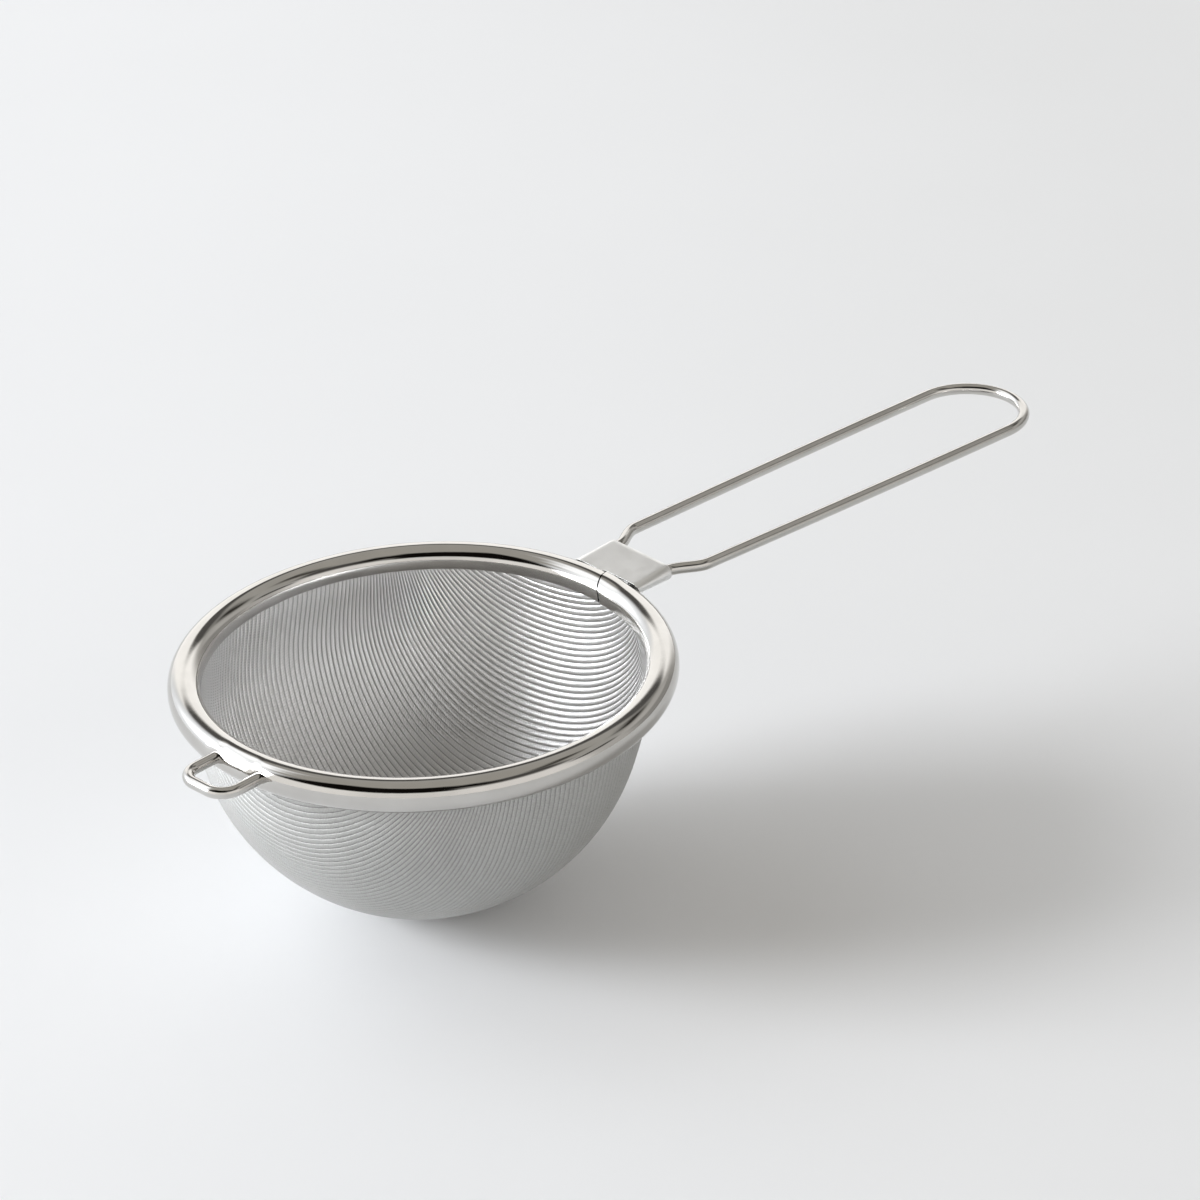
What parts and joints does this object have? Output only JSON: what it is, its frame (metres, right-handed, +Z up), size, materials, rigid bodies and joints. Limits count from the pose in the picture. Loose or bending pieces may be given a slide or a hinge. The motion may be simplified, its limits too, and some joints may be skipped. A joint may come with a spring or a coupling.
{
  "type": "tea strainer",
  "caption": "Round-bottomed tea strainer: woven steel bowl in a rolled rim, with a long wire loop handle and a short wire rest hook opposite.",
  "frame": {"origin": "middle of the small flat at the bottom of the bowl, which stands on the table", "axes": "+X along the handle, away from the bowl; +Z up, along the bowl's axis; +Y completes the right-handed set"},
  "size_m": [0.1803, 0.08, 0.042],
  "materials": {
    "woven_steel": "woven stainless wire cloth, satin",
    "polished_steel": "polished stainless strip",
    "dull_wire": "plain drawn wire",
    "satin_steel": "satin stamped sheet",
    "bright_wire": "bright stainless wire",
    "hook_wire": "bright stainless wire"
  },
  "bodies": {
    "root": {"mesh_bowl": "woven_steel", "rim_band": "polished_steel", "rim_core_wire": "dull_wire", "handle_bracket": "satin_steel", "handle_wire": "bright_wire", "rest_hook": "hook_wire"}
  },
  "joints": []
}
